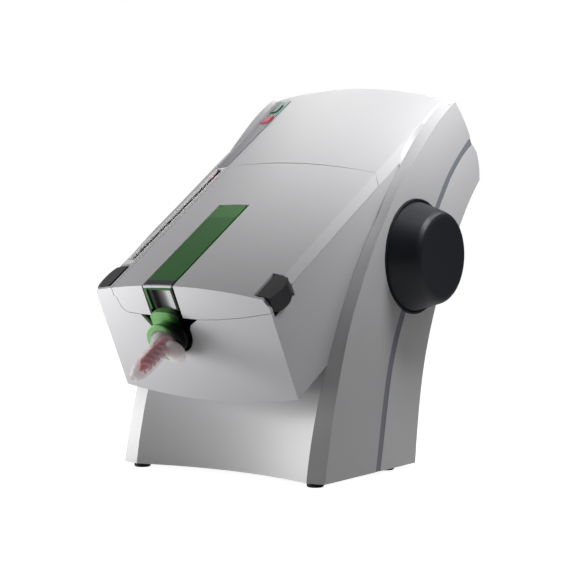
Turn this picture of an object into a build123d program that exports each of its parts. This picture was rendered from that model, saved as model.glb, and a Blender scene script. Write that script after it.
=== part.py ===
from build123d import *
from math import sin, cos, tan, radians, degrees, pi, sqrt, acos, atan2
import os

os.makedirs("parts", exist_ok=True)

# ---------------------------------------------------------------- driving sizes (mm)
TILT = 30.0            # slope of the head
HEAD_Y, HEAD_Z = -60.0, 167.0   # front top edge of the head, before the shift to the origin
Y_ORIGIN = 69.0        # middle of the four feet
HALF_HEAD = 92.25      # half width of the head
HALF_BODY = 108.0      # half width over the side shells, at a third of the height
LEAN_FOOT, LEAN_TOP = 2.0, 4.0   # how far the side faces stand out at the foot and in at the top
SIDE_IN = 93.15        # inner face of the side shells
CROWN_R = 483.4        # radius of the crowned top
CROWN_H = 8.7          # height of the crown over the edges
HEAD_DEPTH = 100.0     # top edge to bottom edge
BELLY = 10.0           # crown of the bottom
WALL = 2.5             # moulded wall
BACK_BULGE = 9.6       # bow of the back wall
PANEL_BOW = 16.4       # hollow of the stand panel
FOOT_H = 4.0
FOOT_R = 7.6
FEET = [(-95, 11), (95, 11), (-95, 127), (95, 127)]
WHEEL_Y, WHEEL_Z = 156.5, 193.5
WHEEL_R, WHEEL_R_FRONT = 50.0, 41.6
WHEEL_X0, WHEEL_X1 = 105.2, 136.0
LID_LEFT, LID_REAR = -73.2, 204.8
HINGE_U, HINGE_V, HINGE_R = 200.8, 4.3, 1.25
SEAM = 0.55
REAR_SEAM = 0.35
BASE_X, CAT_X, TUBE_V = 9.7, -42.0, -43.0
BASE_TUBE, BASE_BORE = 25.5, 23.8
CAT_TUBE, CAT_BORE = 13.2, 12.0
TIP_X, TIP_V = -22.3, -43.0
SPINE_X0, SPINE_X1 = -37.8, -6.8
LABEL_LEN = 131.3
PIN_U, PIN_V = 190.0, -56.5     # pinion shaft
RACK_M, PINION_Z, RACK_ALPHA = 1.5, 12, 25.0
GEAR_M, SHAFT_Z, WHEEL_Z_TEETH, FEED_Z = 1.0, 36, 26, 18
MIX_M, MIX_Z = 1.25, 18
TRAVEL = 130.0

SIN, COS = sin(radians(TILT)), cos(radians(TILT))
HEAD = Plane(origin=(0, HEAD_Y, HEAD_Z), x_dir=(1, 0, 0), z_dir=(0, -SIN, COS)).location


def head(shape):
    return HEAD * shape


def to_head(y, z):
    return ((y - HEAD_Y) * COS + (z - HEAD_Z) * SIN, -(y - HEAD_Y) * SIN + (z - HEAD_Z) * COS)


written = []


def save(name, *shapes):
    solids = []
    for s in shapes:
        solids += list(s.solids())
    solids = [Pos(0, -Y_ORIGIN, 0) * s for s in solids]
    out = solids[0] if len(solids) == 1 else Compound(solids)
    out.label = name
    export_step(out, f"parts/{name}.step")
    written.append(name)


def edges(*items):
    found = []
    for i in items:
        found += list(i.edges())
    return found


def face(*items):
    return Face(Wire(edges(*items)))


def box(x0, x1, y0, y1, z0, z1):
    return Pos((x0 + x1) / 2, (y0 + y1) / 2, (z0 + z1) / 2) * Box(x1 - x0, y1 - y0, z1 - z0)


def prism_x(pts, x0, x1):
    return Solid.extrude(face(Polyline(*[(x0, y, z) for y, z in pts], close=True)), Vector(x1 - x0, 0, 0))


def prism_y(pts, y0, y1):
    return Solid.extrude(face(Polyline(*[(x, y0, z) for x, z in pts], close=True)), Vector(0, y1 - y0, 0))


def prism_z(pts, z0, z1):
    return Solid.extrude(face(Polyline(*[(x, y, z0) for x, y in pts], close=True)), Vector(0, 0, z1 - z0))


def cyl_x(y, z, r, x0, x1):
    return Solid.make_cylinder(r, x1 - x0, Plane(origin=(x0, y, z), z_dir=(1, 0, 0)))


def cyl_y(x, z, r, y0, y1):
    return Solid.make_cylinder(r, y1 - y0, Plane(origin=(x, y0, z), z_dir=(0, 1, 0)))


def cyl_z(x, y, r, z0, z1):
    return Solid.make_cylinder(r, z1 - z0, Plane(origin=(x, y, z0), z_dir=(0, 0, 1)))


def turned_y(profile, x, z):
    # profile of (y, r) points turned about the line through (x, z) along Y
    f = face(Polyline(*[(x + r, y, z) for y, r in profile], close=True))
    return Solid.revolve(f, 360, Axis((x, 0, z), (0, 1, 0)))


def turned_x(profile, y, z):
    f = face(Polyline(*[(x, y, z + r) for x, r in profile], close=True))
    return Solid.revolve(f, 360, Axis((0, y, z), (1, 0, 0)))


def turned_z(profile, x, y):
    f = face(Polyline(*[(x + r, y, z) for z, r in profile], close=True))
    return Solid.revolve(f, 360, Axis((x, y, 0), (0, 0, 1)))


def vt(x, t=0.0):
    return CROWN_H - CROWN_R + sqrt((CROWN_R - t) ** 2 - x * x)


def offset_pts(pts, d):
    out = []
    for i, p in enumerate(pts):
        a, b = pts[max(i - 1, 0)], pts[min(i + 1, len(pts) - 1)]
        ty, tz = b[0] - a[0], b[1] - a[1]
        n = sqrt(ty * ty + tz * tz)
        out.append((p[0] + d * tz / n, p[1] - d * ty / n))
    return out


def gear_outline(m, z, alpha, backlash, phase):
    r = m * z / 2
    rb, ra, rf = r * cos(radians(alpha)), r + m, r - 1.25 * m
    inv = lambda a: tan(a) - a
    half = pi / (2 * z) - backlash / (2 * r) + inv(radians(alpha))
    start = max(rb, rf)
    radii = [start + (ra - start) * k / 4 for k in range(5)]
    flank = [(p, half - inv(acos(min(1.0, rb / p)))) for p in radii]
    pts = []
    for k in range(z):
        mid = radians(phase) + 2 * pi * k / z
        side = list(flank)
        if rf < rb:
            side = [(rf, flank[0][1])] + side
        for p, a in side:
            pts.append((p * cos(mid - a), p * sin(mid - a)))
        for p, a in reversed(side):
            pts.append((p * cos(mid + a), p * sin(mid + a)))
    return pts


def gear_x(m, z, alpha, backlash, phase, u, v, x0, x1, bore):
    pts = [(u + a, v + b) for a, b in gear_outline(m, z, alpha, backlash, phase)]
    return prism_x(pts, x0, x1) - cyl_x(u, v, bore, x0 - 1, x1 + 1)


def gear_u(m, z, alpha, backlash, phase, x, v, u0, u1, bore):
    pts = [(x + a, v + b) for a, b in gear_outline(m, z, alpha, backlash, phase)]
    return prism_y(pts, u0, u1) - cyl_y(x, v, bore, u0 - 1, u1 + 1)


# ================================================================ outlines of the column
Z_GRID = [4, 42, 76, 110, 143.5, 174, 206, 227, 250, 262, 292, 314, 332.2]
Y_OUT = [3.9, 12.4, 22.2, 34.0, 48.5, 66.0, 86.5, 103.0, 121.5, 133.6, 168.6, 196.2, 226.4]
Y_IN = [-0.2, 8.2, 19.3, 34.2, 50.2, 67.8, 89.9, 107.1, 125.5, 136.7, 167.8, 193.0, 221.8]
GROOVE_F = [(86.1, 4), (98.7, 63), (113.2, 111), (129.8, 144), (159.5, 190), (193.4, 239), (214.7, 266), (232.9, 282.6), (257.4, 301.0)]
GROOVE_R = [(93.8, 4), (107.2, 63), (121.8, 111), (139.0, 144), (168.5, 190), (202.0, 239), (224.5, 266), (243.2, 282.6), (261.8, 293.8)]
BACK_LOW = [(154.1, 4), (163.1, 60.9), (175.2, 106), (191.9, 144.6), (240.0, 221.5), (256.6, 241.7), (275.3, 260.1)]
BACK_MID = [(275.3, 260.1), (275.1, 267.7), (272.9, 279.2), (268.8, 287.6), (262.9, 292.6)]
BACK_TOP = [(229.5, 333.9), (241.3, 322.4), (251.0, 310.9), (257.9, 301.2)]
def bulge(x):
    return BACK_BULGE * (1 - (x / HALF_BODY) ** 2)


def lean(z):
    # the side faces lean in towards the top
    return LEAN_FOOT - (LEAN_FOOT + LEAN_TOP) * z / 334.0


def front_edge(x):
    t = min(1.0, max(0.0, (x - SIDE_IN) / (HALF_BODY - SIDE_IN)))
    return [(a + (b - a) * t, z) for a, b, z in zip(Y_IN, Y_OUT, Z_GRID)]


def at_x(pts, x):
    return [(x, y, z) for y, z in pts]


def spline_x(pts, x):
    return Spline(*at_x(pts, x))


def at_r(pts, x):
    return [(x * (1 + lean(z) / HALF_BODY), y, z) for y, z in pts]


def spline_r(pts, x):
    return Spline(*at_r(pts, x))


# ================================================================ head shell
def head_section(t, y):
    # closed crowned outline across the head; t is the inset
    s = t / 2.5
    ax, bx, bv = -90.2 + 1.8 * s, -92.1 + 2.5 * s, -2.4 - 1.2 * s
    cx, cv = -93.0 + 2.5 * s, -HEAD_DEPTH + 2.1 * s
    ex, ev = HALF_HEAD - 2.5 * s, -8.3 - 1.3 * s
    fx = 87.6 - 1.6 * s
    a, b, c = (ax, y, vt(ax, t)), (bx, y, bv), (cx, y, cv)
    d, e, f = (-cx, y, cv), (ex, y, ev), (fx, y, vt(fx, t))
    return face(Line(a, b), Line(b, c), ThreePointArc(c, (0, y, -HEAD_DEPTH - BELLY + t), d),
                Line(d, e), Line(e, f), ThreePointArc(f, (0, y, CROWN_H - t), a))


def head_solid(t, front, y1=365):
    body = Solid.extrude(head_section(t, -8), Vector(0, y1 + 8, 0))
    k = 3.6 / 98.5
    cut = prism_x([(-80, 40), (40 * k + front, 40), (-140 * k + front, -140), (-80, -140)], -120, 120)
    return body - cut


def band_solid(t0, t1, x0, x1, u0, u1):
    # slab that follows the crown, from depth t0 to depth t1 under the surface
    def arc(t):
        return ThreePointArc((x0, u0, vt(x0, t)), ((x0 + x1) / 2, u0, vt((x0 + x1) / 2, t)), (x1, u0, vt(x1, t)))
    f = face(arc(t0), Line((x1, u0, vt(x1, t0)), (x1, u0, vt(x1, t1))), arc(t1), Line((x0, u0, vt(x0, t1)), (x0, u0, vt(x0, t0))))
    return Solid.extrude(f, Vector(0, u1 - u0, 0))


outer = head_solid(0.0, 0.0)
inner = head_solid(WALL, 2.8)
shell = outer - inner

# lid region: top, right strip and front lip. grow is the seam's width
def lid_region(grow):
    g = grow
    r = min(grow, REAR_SEAM)
    a = box(LID_LEFT - g, 86.5, -30, LID_REAR + r, -6, 30)
    strip = prism_x([(-30, 30), (LID_REAR + r, 30), (LID_REAR + r, 1.0), (196.3 + r, -8.1 - g), (-30, -8.1 - g)], 86.4, 120)
    lip = [(LID_LEFT - g, 20), (LID_LEFT - g, 2.4), (-69.3 - g, -14.5), (-68.2 - g, -17.6), (-66.2 - g * .7, -19.9 - g * .7),
           (-63.4, -21.2 - g), (-50.3, -22.5 - g), (12.0, -24.2 - g), (35.0, -22.6 - g), (62.0, -18.6 - g), (100.0, -10.9 - g), (100.0, 20)]
    return a + strip + prism_y(lip, -30, 3.0)


lid_zone, house_zone = lid_region(0.0), lid_region(SEAM)

# notch in the front wall for the tip, and the slot that the cartridge's spine fills
notch = prism_y([(-50.3, 0), (-50.3, -22.5), (-42.5, -34.5), (-42.5, -40), (-0.5, -40), (-0.5, -35.2), (1.6, -31.0), (12.0, -24.2), (12.0, 0)], -20, 3.1)
notch = notch + cyl_y(-21.5, -40.2, 21.0, -20, 3.1)
spine_slot = box(SPINE_X0 - 0.8, SPINE_X1 + 2.6, -30, LABEL_LEN + 1.6, -40, 30)

# release button pockets at the two front corners
TAB_U0, TAB_U1 = 5.0, 35.5


def mirror_pts(pts, side):
    return [(side * x, y) for x, y in pts] if side > 0 else [(-x, y) for x, y in reversed(pts)]


def tab_pocket(side):
    a = box(76.9, 100, 3.1, 37.2, -4, 30)
    b = box(86.5, 100, 3.1, 37.2, -18.4, 2)
    p = a + b
    return p if side > 0 else p.mirror(Plane.YZ)


barrel_pts = []
for k in range(-16, 22):
    x = k * 5.0 + (0 if k > -16 else 1.0)
    if x > 88:
        continue
    dv = max(vt(x) - HINGE_V, 0.0)
    barrel_pts.append((x, sqrt((LID_REAR - HINGE_U) ** 2 + dv * dv) + 0.45 + (0.25 if dv > 1.0 else 0.25 * dv)))
barrel_pts = [(x, r) for x, r in barrel_pts if x >= LID_LEFT - SEAM]
barrel_pts = [(LID_LEFT - SEAM, barrel_pts[0][1])] + barrel_pts
bf = face(Polyline(*([(barrel_pts[0][0], HINGE_U, HINGE_V)] + [(x, HINGE_U, HINGE_V + r) for x, r in barrel_pts] + [(barrel_pts[-1][0], HINGE_U, HINGE_V)]), close=True))
barrel = Solid.revolve(bf, 360, Axis((0, HINGE_U, HINGE_V), (1, 0, 0)))

# ---------------------------------------------------------------- back of the head, bowed
def back_region(inset):
    faces = []
    for x in (-96, -64, -32, 0, 32, 64, 96):
        s = bulge(x)
        top = [(y + s, z + (0.577 * s if i == 0 else 0.0)) for i, (y, z) in enumerate(BACK_TOP)]
        top = offset_pts(top, inset) if inset else top
        up = (top[0][0] - 26.0, top[0][1] + 24.0)
        if inset:
            low = [(top[-1][0], top[-1][1]), (top[-1][0], 240), (top[-1][0] - 40, 40), (-150, 40), (-150, 400), (up[0] - 8, 400), up]
        else:
            low = [(top[-1][0], top[-1][1]), (236 + s * .5, 292), (200, 290), (165, 268), (142, 240), (118, 210), (100, 182), (82, 150), (66, 118), (58, 96), (52, 60), (-140, 60), (-140, 400), (up[0] - 8, 400), up]
        faces.append(face(spline_x(top, x), Polyline(*at_x(low + [top[0]], x))))
    return loft(faces)


shell_b = head(outer) & back_region(0.0)
shell_b = shell_b - (head(inner) & back_region(WALL))

# the chamfers rise to the side shells' top edges towards the back
def shoulder(side):
    secs = []
    rise = ((236.0, 92.9, -9.6), (262.0, 92.9, -4.9), (294.0, 92.9, 0.8), (326.0, 92.9, 2.0), (338.0, 92.9, -0.2), (362.0, 92.9, -5.0))
    if side < 0:
        rise = ((45.0, 92.2, -2.3), (70.0, 93.2, -1.6), (100.0, 94.0, -1.0), (140.0, 94.1, -0.9), (180.0, 94.4, -0.6), (205.0, 94.7, -0.4),
                (232.0, 94.2, 0.0), (256.0, 92.9, 0.6), (294.0, 92.9, 1.6), (326.0, 92.9, 2.2), (338.0, 92.9, -0.2), (362.0, 92.9, -5.0))
    for u, xb, v in rise:
        xa = 86.0 if side > 0 else 89.2
        lo = -14.0
        xc = 92.4 if u < 240.0 and side < 0 else 92.9
        secs.append(face(Polyline((side * xa, u, vt(xa, 0.6)), (side * xb, u, v), (side * xc, u, lo), (side * xa, u, lo), close=True)))
    return loft(secs, ruled=True)


shoulders = (head(shoulder(1)) + head(shoulder(-1))) & back_region(0.0)
bottom_box = head(box(-90.3, 90.3, 0, 400, -130, -91))
front_slab = head(prism_x([(-30, 40), (40 * .03655 + 2.8, 40), (-140 * .03655 + 2.8, -140), (-30, -140)], -120, 120))
bottom_cover = (shell_b & bottom_box) - front_slab
bottom_cover = bottom_cover & head(box(-100, 100, -10, 84, -130, -60))

house = shell_b - (bottom_box - front_slab)
house = house + shoulders
house = house - head(house_zone) - head(notch) - head(barrel)
house = house - head(tab_pocket(1)) - head(tab_pocket(-1))

# level window and keypad openings in the fixed left margin
WIN_X0, WIN_X1, WIN_U0, WIN_U1 = -89.0, -77.6, 40.6, 204.6
house = house - head(box(WIN_X0 - 0.15, WIN_X1 + 0.15, WIN_U0 - 0.15, WIN_U1 + 0.15, -6, 30))
START = (-89.0, -82.0, 308.0, 321.0)
REWIND = (-89.0, -80.0, 288.0, 299.0)
LED = (-85.3, 303.6, 1.4)
for x0, x1, u0, u1 in (START, REWIND):
    house = house - head(box(x0 - 0.5, x1 + 0.5, u0 - 0.5, u1 + 0.5, -6, 30))
house = house - head(cyl_z(LED[0], LED[1], LED[2] + 0.1, -6, 30))
house_parts = sorted(house.solids(), key=lambda s: -s.volume)
house = house_parts[0]
save("main_housing", house)
save("head_bottom_cover", sorted(bottom_cover.solids(), key=lambda s: -s.volume)[0])

# ---------------------------------------------------------------- lid
lid = (shell & lid_zone) - spine_slot - tab_pocket(1)
lid = lid - cyl_x(HINGE_U, HINGE_V, 2.95, -14.2, 14.2)
lid_parts = sorted(lid.solids(), key=lambda s: -s.volume)
lid = lid_parts[0]
for x0, x1 in ((-26, -14.2), (14.2, 26)):
    web = prism_x([(196.0, 6.6), (198.1, 4.3), (203.3, 4.3), (203.3, 6.6)], x0, x1)
    lid = lid + (web + cyl_x(HINGE_U, HINGE_V, 2.6, x0, x1))
lid = lid - cyl_x(HINGE_U, HINGE_V, HINGE_R + 0.05, -30, 30)
# stiffening ribs under the top
for x in (-58.0, 62.0):
    lid = lid + (box(x - 1, x + 1, 8, 188, -3.5, 6.5) & head_solid(WALL - 0.05, 2.8, 200))
for u in (150.0,):
    lid = lid + (box(-66, 84, u - 1, u + 1, -2.5, 7.0) & head_solid(WALL - 0.05, 2.8, 200))
for x0 in (80.0, -71.5):
    lid = lid + (box(x0, x0 + 3, 44, 50, -4.5, 6) & head_solid(WALL - 0.05, 2.8, 200))
save("lid", head(lid))
save("lid_hinge_pin", head(cyl_x(HINGE_U, HINGE_V, HINGE_R, -28, 28)))
knuckle = cyl_x(HINGE_U, HINGE_V, 2.6, -13.9, 13.9) + prism_x([(HINGE_U - 2.6, HINGE_V), (HINGE_U + 1.2, HINGE_V), (HINGE_U + 1.2, -8.0), (HINGE_U - 2.6, -8.0)], -13.9, 13.9)
knuckle = knuckle + box(-13.9, 13.9, 168.3, 203.0, -8.0, -6.0)
knuckle = knuckle - cyl_x(HINGE_U, HINGE_V, HINGE_R, -30, 30)
save("lid_hinge_bracket", head(knuckle))

# ---------------------------------------------------------------- release buttons
TAB_ARC = [(92.2, TAB_U1), (94.9, 29.0), (95.6, 20.5), (94.9, 12.0), (92.4, TAB_U0 - 1.4)]


def release_button(side):
    plan = face(Line((79.6, TAB_U0 - 1.4, -30), (79.6, TAB_U1, -30)), Line((79.6, TAB_U1, -30), (TAB_ARC[0][0], TAB_U1, -30)),
                Spline(*[(x, u, -30) for x, u in TAB_ARC]), Line((TAB_ARC[-1][0], TAB_U0 - 1.4, -30), (79.6, TAB_U0 - 1.4, -30)))
    blank = Solid.extrude(plan, Vector(0, 0, 60))
    # crowned top, D-shaped lower edge
    low = [(3.6, -13.6), (8.0, -16.2), (14.0, -17.4), (20.5, -17.6), (27.0, -16.4), (32.2, -12.4), (TAB_U1, -9.0)]
    side_view = Solid.extrude(face(Spline(*[(70, u, v) for u, v in low]), Polyline((70, TAB_U1, -9.0), (70, TAB_U1, 40), (70, 3.6, 40), (70, 3.6, -13.6))), Vector(40, 0, 0))
    top = band_solid(-0.3, 40, 60, 100, -5, 50)
    body = blank & side_view & top
    body = body - box(70, 89.0, 0, 40, -30, vt(84, 2.6)) - box(60, 92.0, 0, 40, -30, -15.6)
    body = body - box(70, 92.4, 8.0, 32.0, -13.5, -3.5)
    body = sorted(body.solids(), key=lambda s: -s.volume)[0]
    return body if side > 0 else body.mirror(Plane.YZ)


def release_spring(side):
    s = cyl_x(20.0, -8.6, 3.2, 80.2, 92.3) - cyl_x(20.0, -8.6, 2.2, 79, 94)
    return s if side > 0 else s.mirror(Plane.YZ)


def latch_arm(side):
    # hooked arm that reaches from the button to the lid's striker
    if side > 0:
        a = box(84, 92.8, 29, 34, -7.4, -5.4) + box(84, 87, 33, 50, -7.4, -5.4)
        return a + box(77, 87, 44, 50, -7.4, -5.4) + box(77, 79.2, 44, 50, -7.4, -2.5)
    a = box(-92.8, -84, 29, 34, -7.4, -5.4) + box(-87, -84, 33, 50, -7.4, -5.4)
    return a + box(-87, -65.5, 44, 50, -7.4, -5.4) + box(-67.7, -65.5, 44, 50, -7.4, -2.5)


for name, side in (("right", 1), ("left", -1)):
    save(f"release_button_{name}", head(release_button(side) + latch_arm(side)))
save("release_springs", head(release_spring(1)), head(release_spring(-1)))

# ---------------------------------------------------------------- level window and keypad
frame_plate = band_solid(-0.25, 2.0, WIN_X0, WIN_X1, WIN_U0, WIN_U1) - box(-87.4, -79.1, 46.0, 203.4, -8, 20)
save("level_window_frame", head(frame_plate))
save("level_window_lens", head(band_solid(2.05, 2.9, WIN_X0, WIN_X1, WIN_U0, WIN_U1)))
pad = band_solid(-0.45, 0.0, -90.1, -77.6, 205.6, 329.0)
for x0, x1, u0, u1 in (START, REWIND):
    pad = pad - box(x0 - 0.3, x1 + 0.3, u0 - 0.3, u1 + 0.3, -8, 20)
pad = pad - cyl_z(LED[0], LED[1], LED[2] + 0.1, -8, 20)
save("keypad_strip", head(pad))
for name, (x0, x1, u0, u1) in (("start_button", START), ("rewind_button", REWIND)):
    key = band_solid(-1.5, 4.6, x0, x1, u0, u1)
    stem = box((x0 + x1) / 2 - 1.4, (x0 + x1) / 2 + 1.4, (u0 + u1) / 2 - 1.4, (u0 + u1) / 2 + 1.4, -4.3, -1.0)
    save(name, head(key + stem))
save("status_led", head(cyl_z(LED[0], LED[1], LED[2], -6.5, vt(LED[0]) + 0.5)))
board = box(-89.2, -70.0, 262, 325, -8.1, -6.5)
switches = [box((x0 + x1) / 2 - 3, (x0 + x1) / 2 + 3, (u0 + u1) / 2 - 3, (u0 + u1) / 2 + 3, -6.5, -5.6) for x0, x1, u0, u1 in (START, REWIND)]
for sw in switches:
    board = board + sw

# ================================================================ column shells
def side_profile(x, inset=0.0):
    s = bulge(x)
    front = front_edge(x)
    back = [(229.5 + s, 333.9 + 0.577 * s)] + [(y + s, z) for y, z in BACK_TOP[1:]]
    groove = [(y, z) for y, z in GROOVE_F[:-1]] + [(GROOVE_F[-1][0] + s, GROOVE_F[-1][1])]
    back = back[:-1] + [groove[-1]]
    if inset:
        front = offset_pts(front, inset)[:-2]
        front[0] = (front[0][0] + 0.6, 6.5)
        groove = offset_pts(groove, -inset)[:-1]
        groove[0] = (groove[0][0] - 0.6, 6.5)
        back = offset_pts(back, inset)
        back = [(back[0][0] - 3.0, back[0][1] + 0.4)] + back[1:3] + [(back[3][0] - 3.2, back[3][1] + 2.2)]
        groove = groove[:-1] + [(groove[-1][0] + (back[-1][0] - groove[-1][0]) * 0.6, groove[-1][1] + (back[-1][1] - groove[-1][1]) * 0.6)]
    at = at_r if x == HALF_BODY else at_x
    ft, bk, gr = at(front, x), at(back, x), at(list(reversed(groove)), x)
    es = [Spline(*ft), Line(ft[-1], bk[0]), Spline(*bk)]
    if back[-1] != groove[-1]:
        es.append(Line(bk[-1], gr[0]))
    es += [Spline(*gr), Line(gr[-1], ft[0])]
    return face(*es)


def side_shell():
    solid = loft([side_profile(SIDE_IN), side_profile(HALF_BODY)], ruled=True)
    void = Solid.extrude(side_profile(HALF_BODY, WALL + 0.6), Vector(-(HALF_BODY - WALL - 90), 0, 0))
    void = Pos(-WALL, 0, 0) * void
    return solid - void


side = side_shell()
wheel_hole = cyl_x(WHEEL_Y, WHEEL_Z, 52.8, 92, 112)
left_side = side.mirror(Plane.YZ)
save("side_shell_right", sorted((side - wheel_hole).solids(), key=lambda s: -s.volume)[0])
save("side_shell_left", left_side)


def rear_profile(x, inset=0.0, fill=False):
    s = bulge(x)
    low = [(y + s, z) for y, z in BACK_LOW]
    mid = [(y + s, z) for y, z in BACK_MID]
    if inset:
        low = offset_pts(low, -inset)
        mid = offset_pts(mid, -inset)
        corner = ((low[-1][0] + mid[0][0]) / 2, (low[-1][1] + mid[0][1]) / 2)
        low[-1] = corner
        mid[0] = corner
        low[0] = (low[0][0] - 0.5, 1.0)
    if fill:
        rest = [mid[-1], (mid[-1][0] - 2.0, mid[-1][1] + 8.0), (180, 320), (30, 200), (30, 1.0), low[0]]
        return face(spline_r(low, x), spline_r(mid, x), Polyline(*at_r(rest, x)))
    n = len(GROOVE_R)
    groove = [(y + s * max(0.0, (i - 5) / (n - 6)), z) for i, (y, z) in enumerate(GROOVE_R)]
    g = list(reversed(groove))
    return face(spline_r(low, x), spline_r(mid, x), Line(*at_r([mid[-1], g[0]], x)), spline_r(g, x), Line(*at_r([g[-1], low[0]], x)))


XS = (-108, -72, -36, 0, 36, 72, 108)
rear_outer = loft([rear_profile(x) for x in XS])
void_x = HALF_BODY - WALL
rear_void = loft([rear_profile(x, WALL, True) for x in (-void_x, -72, -36, 0, 36, 72, void_x)])
rear = rear_outer - rear_void

# recessed socket panel in the lower back
SX0, SX1, SZ0, SZ1, SY = -72.0, 6.0, 20.0, 62.0, 152.0
rear = rear - box(SX0, SX1, 140, 190, SZ0, SZ1)
cup = box(SX0 - 2.0, SX1 + 2.0, SY, 190, SZ0 - 2.0, SZ1 + 2.0) - box(SX0, SX1, SY + 2.5, 190, SZ0, SZ1)
cup = cup & rear_void
for k in range(9):
    rear = rear - box(26 + k * 7.0, 29 + k * 7.0, 140, 190, 24, 58)
rear = rear - cyl_x(WHEEL_Y, WHEEL_Z, 52.8, 92, 112)
rear = sorted(rear.solids(), key=lambda s: -s.volume)[0]

INLET = (-50.0, 41.0)
ROCKER = (-14.0, 41.0)
cup = cup - box(INLET[0] - 14, INLET[0] + 14, 140, 190, INLET[1] - 11, INLET[1] + 11)
cup = cup - box(ROCKER[0] - 7, ROCKER[0] + 7, 140, 190, ROCKER[1] - 11, ROCKER[1] + 11)
cup = sorted(cup.solids(), key=lambda s: -s.volume)[0]
save("rear_shell", rear)
save("inlet_panel", cup)
inlet = box(INLET[0] - 13.9, INLET[0] + 13.9, 140, 154.5, INLET[1] - 10.9, INLET[1] + 10.9) + box(INLET[0] - 16.5, INLET[0] + 16.5, 154.5, 156.5, INLET[1] - 13, INLET[1] + 13)
inlet = inlet - prism_y([(INLET[0] - 12, INLET[1] - 8.2), (INLET[0] + 12, INLET[1] - 8.2), (INLET[0] + 12, INLET[1] + 3.2), (INLET[0] + 7, INLET[1] + 8.2), (INLET[0] - 7, INLET[1] + 8.2), (INLET[0] - 12, INLET[1] + 3.2)], 142.5, 160)
pin_blocks = [box(INLET[0] - 8, INLET[0] - 6, 142.5, 149.6, INLET[1] - 4, INLET[1]), box(INLET[0] + 6, INLET[0] + 8, 142.5, 149.6, INLET[1] - 4, INLET[1]), box(INLET[0] - 1, INLET[0] + 1, 142.5, 150.2, INLET[1] - 0.5, INLET[1] + 3.5)]
save("mains_inlet_pins", *pin_blocks)
sw_body = box(ROCKER[0] - 6.9, ROCKER[0] + 6.9, 141, 154.5, ROCKER[1] - 10.9, ROCKER[1] + 10.9) + box(ROCKER[0] - 8.5, ROCKER[0] + 8.5, 154.5, 156.2, ROCKER[1] - 12.5, ROCKER[1] + 12.5)
sw_body = sw_body - box(ROCKER[0] - 5.6, ROCKER[0] + 5.6, 146, 160, ROCKER[1] - 9.9, ROCKER[1] + 9.9) - cyl_x(151.5, ROCKER[1], 1.3, ROCKER[0] - 6.4, ROCKER[0] + 6.4)
save("mains_inlet", inlet, sw_body)
ROCK_Y = 152.5
rocker = prism_x([(148.6, ROCKER[1] - 6.5), (156.6, ROCKER[1] - 9.1), (156.8, ROCKER[1] - 8.4), (155.3, ROCKER[1]), (158.7, ROCKER[1] + 7.9), (158.2, ROCKER[1] + 8.4), (148.6, ROCKER[1] + 6.5)], ROCKER[0] - 5.2, ROCKER[0] + 5.2)
save("power_rocker", rocker + cyl_x(151.5, ROCKER[1], 1.2, ROCKER[0] - 6.2, ROCKER[0] + 6.2))

# trim strips in the groove between the shells
def strip_side():
    f = [(y + 0.2, z) for y, z in GROOVE_F[:-1]] + [(257.1, 299.9)]
    r = [(y - 0.2, z) for y, z in GROOVE_R[:-1]] + [(260.9, 293.7)]
    f[0], r[0] = (f[0][0], 4.2), (r[0][0], 4.2)
    shift = lambda pts: [(104.0 + lean(z), y, z) for y, z in pts]
    ft, gr = shift(f), shift(list(reversed(r)))
    fc = face(Spline(*ft), Line(ft[-1], gr[0]), Spline(*gr), Line(gr[-1], ft[0]))
    return Solid.extrude(fc, Vector(3.8, 0, 0))


strip = strip_side()
faces = []
for x in (-103.4, -72, -36, 0, 36, 72, 103.4):
    s = bulge(x)
    pts = [(256.9 + s, 299.9), (251.6 + s, 296.6), (255.0 + s, 292.0), (261.0 + s, 293.6)]
    faces.append(face(Polyline(*at_r(pts, x), close=True)))
rear_strip = loft(faces)
rear_strip = rear_strip - rear_outer
rear_strip = sorted(rear_strip.solids(), key=lambda s: -s.volume)[0]
rear_strip = sorted((rear_strip - side - left_side).solids(), key=lambda s: -s.volume)[0]
save("trim_strips", *(strip - wheel_hole).solids(), strip.mirror(Plane.YZ), rear_strip)

# stand panel, hollow across its width
faces = []
for x in (-92.9, -62, -31, 0, 31, 62, 92.9):
    s = PANEL_BOW * (1 - (x / 92.9) ** 2)
    pts = [(y + s, z) for y, z in zip(Y_IN[:5], Z_GRID[:5])]
    back = list(reversed(offset_pts(pts, 2.4)))
    faces.append(face(spline_x(pts, x), Line((x, *pts[-1]), (x, *back[0])), spline_x(back, x), Line((x, *back[-1]), (x, *pts[0]))))
panel = loft(faces) - head(outer)
panel = panel & box(-100, 100, -20, 60, 4.0, 150)
panel = sorted(panel.solids(), key=lambda s: -s.volume)[0]
save("stand_front_panel", panel)

plate = Solid.extrude(face(ThreePointArc((-92.8, 4.2, 4), (0, 20.6, 4), (92.8, 4.2, 4)), Polyline((92.8, 4.2, 4), (92.8, 88, 4), (103.8, 88, 4), (103.8, 151.2, 4)),
                           ThreePointArc((103.8, 151.2, 4), (0, 159.8, 4), (-103.8, 151.2, 4)), Polyline((-103.8, 151.2, 4), (-103.8, 88, 4), (-92.8, 88, 4), (-92.8, 4.2, 4))), Vector(0, 0, 2.5))
screw_at = [(-60, 60), (60, 60), (-60, 110), (60, 110)]
for x, y in screw_at:
    plate = plate - cyl_z(x, y, 1.75, 3, 8)
save("base_plate", plate)
save("rubber_feet", *[turned_z([(0, 0), (0, FOOT_R - 0.9), (0.8, FOOT_R), (FOOT_H, FOOT_R - 0.3), (FOOT_H, 0)], x, y) for x, y in FEET])
save("base_screws", *[cyl_z(x, y, 3.2, 2.2, 4.0) + cyl_z(x, y, 1.7, 4.0, 10.5) for x, y in screw_at])

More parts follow.
